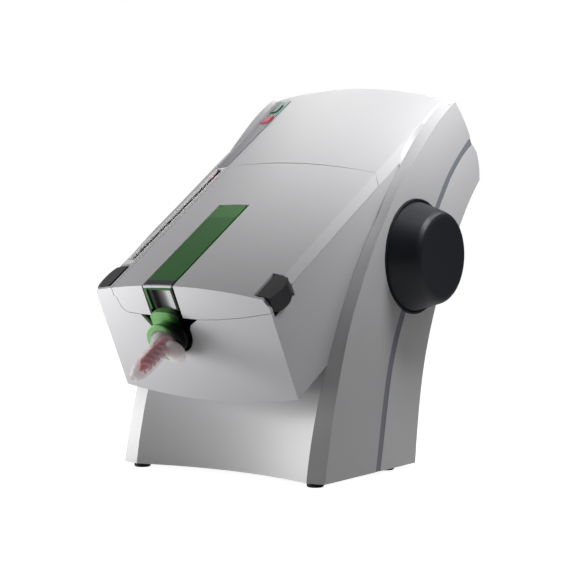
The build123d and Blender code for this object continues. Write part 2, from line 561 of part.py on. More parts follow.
# ================================================================ hand wheel
dish = cyl_x(WHEEL_Y, WHEEL_Z, 52.5, 100.5, 107.8) - cyl_x(WHEEL_Y, WHEEL_Z, 50.9, 103.0, 110) - cyl_x(WHEEL_Y, WHEEL_Z, 7.0, 95, 110)
save("wheel_dish", dish)
knob = turned_x([(WHEEL_X0, 11.0), (WHEEL_X0, 6.0), (130.0, 6.0), (130.0, 0), (WHEEL_X1, 0), (WHEEL_X1, 36.4), (135.7, 38.4), (134.9, 40.0), (133.4, 41.4), (131.4, 42.4), (107.2, WHEEL_R), (105.7, 49.8), (WHEEL_X0, 49.2),
                 (WHEEL_X0, 46.4), (130.2, 38.6), (131.8, 36.6), (131.4, 11.0)], WHEEL_Y, WHEEL_Z)
save("hand_wheel", knob)
WU, WV = to_head(WHEEL_Y, WHEEL_Z)
c_wheel = GEAR_M * (SHAFT_Z + WHEEL_Z_TEETH) / 2
PIN_V = WV + sqrt(c_wheel ** 2 - (WU - PIN_U) ** 2)
d_wheel = degrees(atan2(WV - PIN_V, WU - PIN_U))
RACK_V = PIN_V + RACK_M * PINION_Z / 2      # pitch line of the racks
wheel_gear = gear_x(GEAR_M, WHEEL_Z_TEETH, 20, 0.14, d_wheel + 180 + 180 / WHEEL_Z_TEETH, WU, WV, 59, 65, 6.0)
save("wheel_shaft", head(wheel_gear + cyl_x(WU, WV, 6.0, 54.5, 130.0)))

# ================================================================ feed drive
shaft_gear = gear_x(GEAR_M, SHAFT_Z, 20, 0.14, d_wheel, PIN_U, PIN_V, 59, 65, 4.0)
save("pinion_shaft", head(shaft_gear + cyl_x(PIN_U, PIN_V, 4.0, -73.0, 73.0)))
pinions = [gear_x(RACK_M, PINION_Z, RACK_ALPHA, 0.14, 90, PIN_U, PIN_V, x0, x0 + 10, 4.0) for x0 in (CAT_X - 5, BASE_X - 5)]
save("rack_pinions", *[head(p) for p in pinions])
c_feed = GEAR_M * (SHAFT_Z + FEED_Z) / 2
FEED_U, FEED_V = PIN_U + c_feed, PIN_V
pitch = 360 / SHAFT_Z
near = (d_wheel + round((0 - d_wheel) / pitch) * pitch) - 0
feed_gear = gear_x(GEAR_M, FEED_Z, 20, 0.14, 180 - near * SHAFT_Z / FEED_Z + 180 / FEED_Z, FEED_U, FEED_V, 59, 65, 3.0)
save("feed_motor_pinion", head(feed_gear + cyl_x(FEED_U, FEED_V, 3.0, 54.4, 66.0)))
feed_motor = cyl_x(FEED_U, FEED_V, 19.5, 20, 54) + cyl_x(FEED_U, FEED_V, 15, -4 + 22.5, 20)
save("feed_gearmotor", head(feed_motor))
gear_plate = prism_x([(172, -98.5), (246, -98.5), (246, -34.8), (172, -34.8)], 54, 57) - cyl_x(WU, WV, 9.0, 50, 60) - cyl_x(PIN_U, PIN_V, 5.0, 50, 60) - cyl_x(FEED_U, FEED_V, 4.0, 50, 60)
spacer_at = [(175.2, -38.2), (240, -39.5), (240, -93), (177, -93)]
for u, v in spacer_at:
    gear_plate = gear_plate + cyl_x(u, v, 3.0, 57, 68)
save("gear_plate", head(gear_plate))

# racks and plungers
RACK_TIP = RACK_V - RACK_M
half_pitch = pi * RACK_M / 2
BAR_TOP = RACK_TIP + 12.0


def rack_bar(x):
    t25 = tan(radians(RACK_ALPHA))
    half = (half_pitch - 0.14) / 2
    tip, root = half - RACK_M * t25, half + 1.25 * RACK_M * t25
    pts = [(160.0, BAR_TOP), (160.0, RACK_TIP)]
    k0 = int((181.0 - PIN_U) / (2 * half_pitch)) - 1
    us = []
    k = k0
    while True:
        u = PIN_U + half_pitch + k * 2 * half_pitch
        k += 1
        if u < 182:
            continue
        if u > 323.0:
            break
        us.append(u)
    pts.append((us[0] - 2 * half_pitch + tip, RACK_TIP))
    pts.append((us[0] - 2 * half_pitch + root, RACK_V - (-1.25 * RACK_M)))
    for u in us:
        pts += [(u - root, RACK_V + 1.25 * RACK_M), (u - tip, RACK_TIP), (u + tip, RACK_TIP), (u + root, RACK_V + 1.25 * RACK_M)]
    pts += [(326.0, RACK_V + 1.25 * RACK_M), (326.0, BAR_TOP)]
    return prism_x(pts, x - 6, x + 6)


RV = (BAR_TOP + RACK_TIP) / 2


def plunger(x, r):
    d = cyl_y(x, TUBE_V, r, 154.0, 160.0) - cyl_y(x, TUBE_V, r - 2.2, 156.5, 161)
    hub = cyl_y(x, TUBE_V, min(8.0, r - 1.0), 156.5, 160.0)
    return d + hub


save("base_plunger", head(plunger(BASE_X, 22.8)))
save("base_rack_rod", head(rack_bar(BASE_X)))
save("catalyst_plunger", head(plunger(CAT_X, 11.0)))
save("catalyst_rack_rod", head(rack_bar(CAT_X)))
arm = prism_y([(-46.6, BAR_TOP), (-38.7, BAR_TOP), (-38.7, -31), (-46, -28), (-50, -10), (-84.5, -10), (-84.5, -16), (-55, -16), (-51.5, -31)], 320, 325)
arm = arm + cyl_y(-82.5, -13, 2.0, 198.0, 320.0) + box(-84.0, -81.0, 196.0, 200.0, -14.8, -7.0)
save("level_pointer_arm", head(arm))
pointer = box(-88.2, -79.9, 190.0, 200.5, -7.0, -2.65)
save("level_pointer", head(pointer))

# ================================================================ mixer drive
mix_shaft = cyl_y(TIP_X, TIP_V, 4.0, 14.0, 224.0) + prism_y([(TIP_X + 3.2 / cos(pi / 6) * cos(pi / 3 * k), TIP_V + 3.2 / cos(pi / 6) * sin(pi / 3 * k)) for k in range(6)], 3.0, 14.0)
mix_shaft = mix_shaft + gear_u(MIX_M, MIX_Z, 20, 0.14, 90, TIP_X, TIP_V, 209, 216, 4.0)
save("mixer_drive_shaft", head(mix_shaft))
MIX_C = MIX_M * MIX_Z
MOT_V = TIP_V + MIX_C
mot_pin = gear_u(MIX_M, MIX_Z, 20, 0.14, 270 + 180 / MIX_Z, TIP_X, MOT_V, 209, 216, 2.5) + cyl_y(TIP_X, MOT_V, 2.5, 207.0, 221.6)
save("mixer_motor_pinion", head(mot_pin))
save("mixer_gearmotor", head(cyl_y(TIP_X, MOT_V, 15.8, 222, 268) + cyl_y(TIP_X, MOT_V, 13.0, 268, 284) + cyl_y(TIP_X, MOT_V, 2.0, 284, 288)))
bracket = prism_y([(TIP_X - 12, -56.5), (3.0, -56.5), (3.0, BAR_TOP + 2.5), (68.0, BAR_TOP + 2.5), (68.0, -20.5), (3.0, -4.6), (TIP_X - 12, -4.6)], 219, 222)
bracket = bracket - cyl_y(TIP_X, TIP_V, 7.0, 210, 230) - cyl_y(TIP_X, MOT_V, 6.0, 210, 230)
save("mixer_bracket", head(bracket))

# bearings and guides, all held in the frame
def ring_x(u, v, ro, ri, x0, x1):
    return cyl_x(u, v, ro, x0, x1) - cyl_x(u, v, ri, x0 - 1, x1 + 1)


def ring_y(x, v, ro, ri, u0, u1):
    return cyl_y(x, v, ro, u0, u1) - cyl_y(x, v, ri, u0 - 1, u1 + 1)


save("shaft_bearings", *[head(s) for s in (ring_x(PIN_U, PIN_V, 7.0, 4.06, 68, 71), ring_x(PIN_U, PIN_V, 7.0, 4.06, -71, -68), ring_x(WU, WV, 9.0, 6.06, 68, 71), ring_x(WU, WV, 9.0, 6.06, 54, 57),
     ring_y(TIP_X, TIP_V, 7.0, 4.06, 164, 168), ring_y(TIP_X, TIP_V, 7.0, 4.06, 219, 222))])
bulkhead = box(-67.9, 67.9, 164, 168, -95, -10.1)
for x in (BASE_X, CAT_X):
    bulkhead = bulkhead + box(x - 9.0, x + 9.0, 168, 172, RV - 9.0, RV + 9.0)
for x in (BASE_X, CAT_X):
    bulkhead = bulkhead - box(x - 6.3, x + 6.3, 160, 175, RV - 6.3, RV + 6.3)
bulkhead = bulkhead - cyl_y(TIP_X, TIP_V, 7.0, 160, 175)
save("front_bulkhead", head(bulkhead))

plate_pts = [(40, 6.6), (125, 6.6), (146, 70), (160, 115), (176, 150), (215, 209), (250, 250), (256, 262), (229.0, 311.5)]
a = (HEAD_Y + 163.9 * COS + 19 * SIN, HEAD_Z + 163.9 * SIN - 19 * COS)
b = (HEAD_Y + 163.9 * COS + 92 * SIN, HEAD_Z + 163.9 * SIN - 92 * COS)
plate_pts += [a, b, (107.2, 157.3), (62, 104)]
frame_plates = []
for x0 in (68.0, -71.0):
    p = prism_x(plate_pts, x0, x0 + 3)
    p = p - head(cyl_x(PIN_U, PIN_V, 7.0, x0 - 1, x0 + 4))
    if x0 > 0:
        p = p - head(cyl_x(WU, WV, 9.0, x0 - 1, x0 + 4))
    p = p - prism_x([(60, 40), (125, 40), (132, 95), (78, 95)], x0 - 1, x0 + 4)
    frame_plates.append(p)
save("frame_plates", *frame_plates)

# ================================================================ cartridge bay
liner = box(-64, 60, 3.2, 163.8, -76, -10) - box(-62, 58, 5.2, 170, -74, 0)
liner = liner - (prism_y([(-52, 0), (-52, -24), (-45.5, -36), (-45.5, -43), (3.5, -43), (3.5, -34), (14, -25), (14, 0)], 0, 6) + cyl_y(TIP_X, TIP_V, 24.5, 0, 6))
deck = box(-71.8, 85.8, 3.4, 185.0, -10, -8) - box(-62, 58, 0, 163.8, -12, 0) + box(-44, 85.8, 184, 196.5, -10, -8)
deck = deck - box(-52, 14, -5, 6, -12, 0)
deck = deck - box(79.9, 90, 14, 26, -12, 0)
deck = deck + box(-80.0, -71.7, 5, 36, -10, -8)
deck = deck + box(77.5, 80.0, 15, 25, -16.5, -5.3) + box(-80.0, -77.5, 15, 25, -16.5, -5.3)
deck = deck - box(-13.9, 13.9, 168.3, 203.0, -8.0, -6.0)
save("bay_deck", head(deck))
for u in (40.0, 118.0):
    c = box(-62.5, 58.5, u, u + 6, -74.5, -53) - cyl_y(BASE_X, TUBE_V, BASE_TUBE + 0.3, 0, 160) - cyl_y(CAT_X, TUBE_V, CAT_TUBE + 0.3, 0, 160)
    liner = liner + c
save("bay_liner", head(sorted(liner.solids(), key=lambda s: -s.volume)[0]))

# ================================================================ cartridge
block = cyl_y(BASE_X, TUBE_V, BASE_TUBE, 6.2, 14) + cyl_y(CAT_X, TUBE_V, CAT_TUBE, 6.2, 14) + cyl_y(TIP_X, TIP_V, 17.5, 6.2, 14) + box(SPINE_X0, SPINE_X1, 6.2, 14, TIP_V, -16)
tubes = cyl_y(BASE_X, TUBE_V, BASE_TUBE, 14, 150) + cyl_y(CAT_X, TUBE_V, CAT_TUBE, 14, 150)
spine = box(SPINE_X0, SPINE_X1, 0.6, LABEL_LEN, -31, 6.0) - box(SPINE_X0 + 2.4, SPINE_X1 - 2.4, -2, LABEL_LEN - 2.4, -40, 3.6)
spine = spine - band_solid(-4.0, 2.2, SPINE_X0 - 2, SPINE_X1 + 2, -2, LABEL_LEN + 2)
cart = block + tubes + spine - box(SPINE_X0 + 2.4, SPINE_X1 - 2.4, -2, 6.2, -40, 3.6)
cart = cart - cyl_y(BASE_X, TUBE_V, BASE_BORE, 14, 152) - cyl_y(CAT_X, TUBE_V, CAT_BORE, 14, 152)
cart = cart - cyl_y(TIP_X, TIP_V, 5.4, -5, 160) - cyl_y(-2.0, -47.0, 3.0, 0, 15) - cyl_y(-36.0, -43.0, 2.0, 0, 15)
cart = cart - box(SPINE_X0 - 1, SPINE_X1 + 1, -5, 6.2, -40, -17.0)
cart = sorted(cart.solids(), key=lambda s: -s.volume)[0]
save("cartridge_body", head(cart))
label = band_solid(0.2, 2.2, SPINE_X0, SPINE_X1, 0.6, LABEL_LEN)
save("cartridge_label", head(label))
insert = box(SPINE_X0 + 2.5, SPINE_X1 - 2.5, 2.2, 6.1, -16.9, 3.5) - cyl_z((SPINE_X0 + SPINE_X1) / 2, -12.0, 16.6, -30, 10)
save("cartridge_neck_insert", head(insert))

collar = turned_y([(-14.6, 12.0), (-14.6, 17.9), (-13.9, 18.6), (-12.2, 18.6), (-11.2, 17.0), (-8.6, 15.9), (-5.0, 15.9), (-2.6, 17.0), (6.0, 17.2), (6.0, 12.0)], TIP_X, TIP_V + 1.0)
arch = prism_y([(-36.4, -40), (SPINE_X0, -32), (SPINE_X0, -22.5), (-35.6, -19.6), (-31, -17.7), (-26, -17.1), (-22.3, -17.05), (-18.6, -17.1), (-13.6, -17.7), (-9.0, -19.6), (SPINE_X1, -22.5), (SPINE_X1, -32), (-8.2, -40)], -3.6, 6.1)
collar = (collar + arch) - cyl_y(TIP_X, TIP_V, 14.3, -20, 20)
collar = sorted(collar.solids(), key=lambda s: -s.volume)[0]
save("cartridge_collar", head(collar))

tip_pts = [(5.6, 13.6), (-15.6, 14.0), (-17.0, 13.4), (-20.5, 10.2), (-23.5, 9.3), (-51, 8.6), (-58.5, 4.4), (-66, 3.7), (-66, 2.5), (-58.2, 3.1), (-50.4, 7.4), (-23, 8.1), (-20.0, 9.0), (-16.0, 12.4), (5.6, 12.2)]
tip = turned_y(tip_pts, TIP_X, TIP_V)
lobe = turned_y([(-14.8, 0), (-14.8, 10.6), (-16.2, 11.4), (-18.4, 10.6), (-20.4, 7.6), (-21.0, 3.0), (-21.1, 0)], -12.0, -48.8)
tip = tip + (lobe - turned_y([(-14.0, 0), (-14.0, 13.8), (-15.6, 13.8), (-17.0, 13.2), (-20.5, 10.0), (-23.5, 9.1), (-23.5, 0)], TIP_X, TIP_V))
tip = sorted(tip.solids(), key=lambda s: -s.volume)[0]
save("mixing_tip", head(tip))

rotor = cyl_y(TIP_X, TIP_V, 2.4, -54.0, -2.0) + cyl_y(TIP_X, TIP_V, 5.2, -6.0, 12.0)
rotor = rotor - prism_y([(TIP_X + 3.28 / cos(pi / 6) * cos(pi / 3 * k), TIP_V + 3.28 / cos(pi / 6) * sin(pi / 3 * k)) for k in range(6)], -0.5, 14.5)
for k in range(11):
    b = Pos(0, -9.0 - 3.9 * k, 0) * Box(12.6, 2.2, 3.4)
    rotor = rotor + Pos(TIP_X, 0, TIP_V) * (Rotation(0, 34 * k, 0) * b)
save("mixing_rotor", head(rotor))


def bag(x, r, u0, u1):
    return turned_y([(u0, 0), (u0, r - 3), (u0 + 2, r - 0.8), (u0 + 5, r), (u1 - 8, r), (u1 - 3, r - 1.2), (u1 - 1, r * 0.6), (u1, 2), (u1, 0)], x, TUBE_V)


save("base_foil_bag", head(bag(BASE_X, 22.9, 22.2, 153.2)))
save("catalyst_foil_bag", head(bag(CAT_X, 11.3, 22.2, 153.2)))
save("foil_bag_caps", head(turned_y([(14.2, 4), (14.2, 23.2), (20.6, 23.2), (22.0, 21.0), (22.0, 4)], BASE_X, TUBE_V)), head(turned_y([(14.2, 2.5), (14.2, 11.6), (20.6, 11.6), (22.0, 10.0), (22.0, 2.5)], CAT_X, TUBE_V)))

# ================================================================ electrics in the column
psu = box(-58, 58, 48, 118, 10.6, 52)
for x in (-50, 50):
    for y in (55, 111):
        psu = psu + box(x - 4, x + 4, y - 4, y + 4, 6.5, 10.6)
save("power_supply", psu)
motor_board = box(-55, 55, 66, 130, 60, 61.6)
for x in (-50, 50):
    for y in (72, 112):
        motor_board = motor_board + cyl_z(x, y, 2.5, 52, 60)
for x0, x1, y0, y1, h in ((-45, -15, 75, 95, 14), (-10, 10, 74, 84, 9), (18, 40, 90, 108, 12), (-5, 12, 100, 118, 6)):
    motor_board = motor_board + box(x0, x1, y0, y1, 61.6, 61.6 + h)
save("circuit_boards", head(board), motor_board)

print(len(written), "nodes")
print("pinion shaft u,v", PIN_U, PIN_V, "wheel", WU, WV, "feed", FEED_U, FEED_V, "mixer motor v", MOT_V, "rack tip", RACK_TIP, BAR_TOP)
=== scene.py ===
import math
import random

import bmesh
import bpy
from mathutils import Matrix, Vector


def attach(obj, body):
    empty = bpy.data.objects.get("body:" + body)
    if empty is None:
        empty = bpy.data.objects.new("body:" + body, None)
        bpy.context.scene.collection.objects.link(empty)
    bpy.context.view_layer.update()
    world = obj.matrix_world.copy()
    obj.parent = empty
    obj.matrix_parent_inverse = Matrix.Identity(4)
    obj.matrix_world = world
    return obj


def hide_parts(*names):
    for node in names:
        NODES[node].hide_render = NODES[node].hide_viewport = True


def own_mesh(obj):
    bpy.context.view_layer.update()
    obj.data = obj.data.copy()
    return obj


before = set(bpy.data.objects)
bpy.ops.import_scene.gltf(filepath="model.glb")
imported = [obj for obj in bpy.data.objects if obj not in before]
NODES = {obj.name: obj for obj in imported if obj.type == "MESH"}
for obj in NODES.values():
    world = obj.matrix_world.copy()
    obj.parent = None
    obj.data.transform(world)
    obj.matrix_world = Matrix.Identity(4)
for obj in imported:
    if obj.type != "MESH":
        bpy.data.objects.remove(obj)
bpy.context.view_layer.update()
random.seed(7)
scene = bpy.context.scene
scene.view_settings.view_transform = "Standard"
scene.view_settings.look = "None"

# ------------------------------------------------------------------ head frame
SIN, COS = 0.5, math.sqrt(3) / 2
HEAD = Matrix(((1, 0, 0, 0), (0, COS, -SIN, (-60.0 - 69.0) / 1000), (0, SIN, COS, 0.167), (0, 0, 0, 1)))
CROWN_R, CROWN_H = 483.4, 8.7
AX, AV = -22.3, -43.0


def vt(x, t=0.0):
    return CROWN_H - CROWN_R + math.sqrt((CROWN_R - t) ** 2 - x * x)


def hp(x, u, v):
    return HEAD @ Vector((x / 1000, u / 1000, v / 1000))


# ------------------------------------------------------------------ materials
def new_mat(name):
    m = bpy.data.materials.new(name)
    m.use_nodes = True
    return m, m.node_tree.nodes, m.node_tree.links, m.node_tree.nodes["Principled BSDF"]


def moulded(name, color, rough=0.42, spec=0.45, grain=0.012, scale=900, coat=0.0, mottling=0.015, bump=0.00006):
    """Moulded plastic with a fine spark-eroded grain and a trace of unevenness."""
    m, n, l, p = new_mat(name)
    p.inputs["Specular IOR Level"].default_value = spec
    p.inputs["Coat Weight"].default_value = coat
    p.inputs["Coat Roughness"].default_value = 0.12
    tc = n.new("ShaderNodeTexCoord")
    fine = n.new("ShaderNodeTexNoise")
    fine.inputs["Scale"].default_value = scale
    fine.inputs["Detail"].default_value = 2
    l.new(tc.outputs["Object"], fine.inputs["Vector"])
    big = n.new("ShaderNodeTexNoise")
    big.inputs["Scale"].default_value = 14
    big.inputs["Detail"].default_value = 3
    l.new(tc.outputs["Object"], big.inputs["Vector"])
    mix = n.new("ShaderNodeMix")
    mix.data_type = "RGBA"
    a = [max(0, c * (1 - mottling)) for c in color]
    b = [min(1, c * (1 + mottling)) for c in color]
    mix.inputs["A"].default_value = (*a, 1)
    mix.inputs["B"].default_value = (*b, 1)
    l.new(big.outputs["Fac"], mix.inputs["Factor"])
    l.new(mix.outputs["Result"], p.inputs["Base Color"])
    mr = n.new("ShaderNodeMapRange")
    mr.inputs["From Min"].default_value = 0.3
    mr.inputs["From Max"].default_value = 0.7
    mr.inputs["To Min"].default_value = rough - grain * 3
    mr.inputs["To Max"].default_value = rough + grain * 3
    l.new(fine.outputs["Fac"], mr.inputs["Value"])
    l.new(mr.outputs["Result"], p.inputs["Roughness"])
    bp = n.new("ShaderNodeBump")
    bp.inputs["Strength"].default_value = 0.25
    bp.inputs["Distance"].default_value = bump
    l.new(fine.outputs["Fac"], bp.inputs["Height"])
    l.new(bp.outputs["Normal"], p.inputs["Normal"])
    return m


def metal(name, color, rough=0.3, stretch=(1, 1, 1), scale=400):
    m, n, l, p = new_mat(name)
    p.inputs["Metallic"].default_value = 1.0
    tc = n.new("ShaderNodeTexCoord")
    mp = n.new("ShaderNodeMapping")
    mp.inputs["Scale"].default_value = stretch
    l.new(tc.outputs["Object"], mp.inputs["Vector"])
    no = n.new("ShaderNodeTexNoise")
    no.inputs["Scale"].default_value = scale
    no.inputs["Detail"].default_value = 3
    l.new(mp.outputs["Vector"], no.inputs["Vector"])
    mr = n.new("ShaderNodeMapRange")
    mr.inputs["To Min"].default_value = max(0.05, rough - 0.1)
    mr.inputs["To Max"].default_value = rough + 0.1
    l.new(no.outputs["Fac"], mr.inputs["Value"])
    l.new(mr.outputs["Result"], p.inputs["Roughness"])
    mix = n.new("ShaderNodeMix")
    mix.data_type = "RGBA"
    mix.inputs["A"].default_value = (*[c * 0.92 for c in color], 1)
    mix.inputs["B"].default_value = (*[min(1, c * 1.06) for c in color], 1)
    l.new(no.outputs["Fac"], mix.inputs["Factor"])
    l.new(mix.outputs["Result"], p.inputs["Base Color"])
    return m


def clear(name, color, rough=0.15, ior=1.45, alpha=None, trans=1.0):
    m, n, l, p = new_mat(name)
    p.inputs["Transmission Weight"].default_value = trans
    p.inputs["IOR"].default_value = ior
    tc = n.new("ShaderNodeTexCoord")
    no = n.new("ShaderNodeTexNoise")
    no.inputs["Scale"].default_value = 220
    l.new(tc.outputs["Object"], no.inputs["Vector"])
    mr = n.new("ShaderNodeMapRange")
    mr.inputs["To Min"].default_value = max(0.02, rough - 0.05)
    mr.inputs["To Max"].default_value = rough + 0.05
    l.new(no.outputs["Fac"], mr.inputs["Value"])
    l.new(mr.outputs["Result"], p.inputs["Roughness"])
    p.inputs["Base Color"].default_value = (*color, 1)
    if alpha is not None:
        p.inputs["Alpha"].default_value = alpha
    return m


SHELL = moulded("shell_plastic", (0.515, 0.51, 0.525), rough=0.40, spec=0.5)
SHELL_SIDE = moulded("side_plastic", (0.49, 0.487, 0.50), rough=0.42, spec=0.5)
STAND = moulded("stand_plastic", (0.58, 0.575, 0.585), rough=0.45, spec=0.45)
REAR = moulded("rear_plastic", (0.57, 0.567, 0.58), rough=0.42, spec=0.5)
TRIM = moulded("trim_plastic", (0.20, 0.212, 0.245), rough=0.4, spec=0.45)
DARK = moulded("button_plastic", (0.018, 0.019, 0.022), rough=0.38, spec=0.5)
WHEEL = moulded("wheel_plastic", (0.005, 0.007, 0.012), rough=0.46, spec=0.50, grain=0.01)
RING = moulded("ring_plastic", (0.008, 0.008, 0.009), rough=0.5)
INNER = moulded("inner_plastic", (0.10, 0.105, 0.11), rough=0.5)
BLACK = moulded("black_plastic", (0.012, 0.012, 0.013), rough=0.4)
RUBBER = moulded("foot_rubber", (0.012, 0.012, 0.012), rough=0.75, spec=0.25)
KEYPAD = moulded("keypad_film", (0.42, 0.45, 0.45), rough=0.45)
WHITE = moulded("frame_plastic", (0.80, 0.80, 0.80), rough=0.35)
RED = moulded("pointer_plastic", (0.55, 0.02, 0.015), rough=0.35)
KEY_RED = moulded("key_red_plastic", (0.58, 0.055, 0.10), rough=0.45, spec=0.25)
KEY_GREEN = moulded("key_green_plastic", (0.01, 0.10, 0.055), rough=0.35)
LED_M = moulded("lamp_plastic", (0.02, 0.03, 0.03), rough=0.15)
GREEN = moulded("collar_plastic", (0.22, 0.45, 0.18), rough=0.34, spec=0.4)
CART = moulded("cartridge_plastic", (0.22, 0.225, 0.23), rough=0.35)
STEEL = metal("turned_steel", (0.56, 0.57, 0.58), rough=0.28, stretch=(1, 1, 1))
PLATE = metal("plated_sheet", (0.60, 0.61, 0.60), rough=0.38, scale=120)
BRONZE = metal("bearing_bronze", (0.55, 0.36, 0.16), rough=0.42, scale=900)
FOIL = metal("bag_foil", (0.78, 0.78, 0.77), rough=0.22, scale=60)
MOTOR = moulded("motor_paint", (0.05, 0.055, 0.06), rough=0.4)
BOARD = moulded("board_laminate", (0.01, 0.09, 0.035), rough=0.35)
TIP = clear("tip_plastic", (0.95, 0.91, 0.92), rough=0.30, ior=1.4, alpha=0.26, trans=0.0)
# One rotor plastic in two tones: lighter pink blades as painted light shining through them, deep red core as painted
# shade.
ROTOR = moulded("rotor_plastic", (0.72, 0.17, 0.22), rough=0.30)
ROTOR_CORE = moulded("rotor_core_painted_shade", (0.42, 0.02, 0.06), rough=0.35)
LOBE = clear("tip_lobe_plastic", (0.93, 0.86, 0.86), rough=0.3, ior=1.4, alpha=0.62, trans=0.0)
LENS = clear("lens_plastic", (0.97, 0.98, 0.98), rough=0.04, ior=1.3, alpha=0.25)
LABEL = moulded("label_print_and_painted_edge_shading", (0.010, 0.16, 0.022), rough=0.22, spec=0.6, coat=0.5)

MATS = {
    "main_housing": SHELL, "head_bottom_cover": SHELL, "lid": SHELL, "side_shell_left": SHELL_SIDE, "side_shell_right": SHELL_SIDE,
    "rear_shell": REAR, "inlet_panel": REAR, "stand_front_panel": STAND, "trim_strips": TRIM, "release_button_left": DARK, "release_button_right": DARK,
    "hand_wheel": WHEEL, "wheel_dish": RING, "wheel_shaft": STEEL, "pinion_shaft": STEEL, "rack_pinions": STEEL, "feed_motor_pinion": STEEL,
    "base_rack_rod": STEEL, "catalyst_rack_rod": STEEL, "mixer_drive_shaft": STEEL, "mixer_motor_pinion": STEEL, "lid_hinge_pin": STEEL,
    "base_screws": STEEL, "mains_inlet_pins": STEEL, "release_springs": STEEL, "gear_plate": PLATE, "front_bulkhead": PLATE, "frame_plates": PLATE,
    "mixer_bracket": PLATE, "lid_hinge_bracket": PLATE, "level_pointer_arm": PLATE, "power_supply": PLATE, "shaft_bearings": BRONZE,
    "feed_gearmotor": MOTOR, "mixer_gearmotor": MOTOR, "circuit_boards": BOARD, "base_plate": INNER, "bay_liner": INNER, "bay_deck": INNER,
    "base_plunger": CART, "catalyst_plunger": CART, "foil_bag_caps": CART, "cartridge_body": CART, "cartridge_neck_insert": CART,
    "base_foil_bag": FOIL, "catalyst_foil_bag": FOIL, "cartridge_label": LABEL, "cartridge_collar": GREEN, "mixing_tip": TIP, "mixing_rotor": ROTOR,
    "level_window_frame": WHITE, "level_window_lens": LENS, "level_pointer": RED, "keypad_strip": KEYPAD, "start_button": KEY_GREEN,
    "rewind_button": KEY_RED, "status_led": LED_M, "mains_inlet": BLACK, "power_rocker": BLACK, "rubber_feet": RUBBER,
}
for name, obj in NODES.items():
    obj.data.materials.clear()
    obj.data.materials.append(MATS[name])

# ------------------------------------------------------------------ printed materials, and materials with painted light and shade along one direction
def head_u(n, l, axis=(0.0, COS, SIN)):
    """Distance along the head's slope in millimetres, from its front edge, measured on the piece itself."""
    tc = n.new("ShaderNodeTexCoord")
    sub = n.new("ShaderNodeVectorMath")
    sub.operation = "SUBTRACT"
    sub.inputs[1].default_value = (0.0, -0.129, 0.167)
    l.new(tc.outputs["Object"], sub.inputs[0])
    dot = n.new("ShaderNodeVectorMath")
    dot.operation = "DOT_PRODUCT"
    dot.inputs[1].default_value = tuple(1000 * a for a in axis)
    l.new(sub.outputs["Vector"], dot.inputs[0])
    return dot.outputs["Value"]


def ramp_mat(name, stops, lo, hi, axis=(0.0, COS, SIN), rough=0.3, spec=0.5, coat=0.0, constant=False):
    """Plastic whose colour changes along one direction, with a little unevenness in its gloss."""
    m, n, l, p = new_mat(name)
    p.inputs["Specular IOR Level"].default_value = spec
    p.inputs["Coat Weight"].default_value = coat
    p.inputs["Coat Roughness"].default_value = 0.1
    v = head_u(n, l, axis)
    mr = n.new("ShaderNodeMapRange")
    mr.inputs["From Min"].default_value = lo
    mr.inputs["From Max"].default_value = hi
    l.new(v, mr.inputs["Value"])
    cr = n.new("ShaderNodeValToRGB")
    cr.color_ramp.interpolation = "CONSTANT" if constant else "LINEAR"
    el = cr.color_ramp.elements
    while len(el) > 1:
        el.remove(el[0])
    el[0].position = (stops[0][0] - lo) / (hi - lo)
    el[0].color = (*stops[0][1], 1)
    for q, c in stops[1:]:
        e = el.new((q - lo) / (hi - lo))
        e.color = (*c, 1)
    l.new(mr.outputs["Result"], cr.inputs["Fac"])
    l.new(cr.outputs["Color"], p.inputs["Base Color"])
    tc = n.new("ShaderNodeTexCoord")
    no = n.new("ShaderNodeTexNoise")
    no.inputs["Scale"].default_value = 300
    l.new(tc.outputs["Object"], no.inputs["Vector"])
    r2 = n.new("ShaderNodeMapRange")
    r2.inputs["To Min"].default_value = rough - 0.04
    r2.inputs["To Max"].default_value = rough + 0.04
    l.new(no.outputs["Fac"], r2.inputs["Value"])
    l.new(r2.outputs["Result"], p.inputs["Roughness"])
    return m


G0, G1 = (0.009, 0.120, 0.007), (0.028, 0.175, 0.020)
# Label: a light grey front edge as a painted highlight, then a near-black band over the curved front end as painted
# shade, then the label's two greens.
LABEL = ramp_mat("label_print_and_painted_edge_shading", [(0.0, (0.50, 0.51, 0.53)), (1.7, (0.02, 0.022, 0.026)), (9.2, G0), (111.5, G1)], 0.0, 140.0, rough=0.42, spec=0.25, coat=0.0, constant=True)
# Spine: a pale green stripe at its left edge as a painted highlight, dark green across its face, and near-black from
# x = -8.2 mm on its right wall as painted shade.
SPINE = ramp_mat("spine_painted_highlight_and_shade", [(-37.5, (0.05, 0.20, 0.045)), (-34.5, (0.006, 0.055, 0.010)), (-9.6, (0.010, 0.090, 0.012)), (-8.2, (0.001, 0.004, 0.001))], -60.0, 40.0, axis=(1.0, 0.0, 0.0), rough=0.4, spec=0.25)
# Channel insert: near-black on the left as painted shade in the hollow, brightening to silver-grey on the right as a
# painted sheen.
CHANNEL = ramp_mat("channel_painted_shade_and_sheen", [(-37, (0.002, 0.002, 0.002)), (-28, (0.004, 0.004, 0.004)), (-22, (0.10, 0.10, 0.105)), (-15, (0.42, 0.42, 0.43)), (-9, (0.62, 0.62, 0.64))], -40.0, -5.0, axis=(1.0, 0.0, 0.0), rough=0.45, spec=0.2)
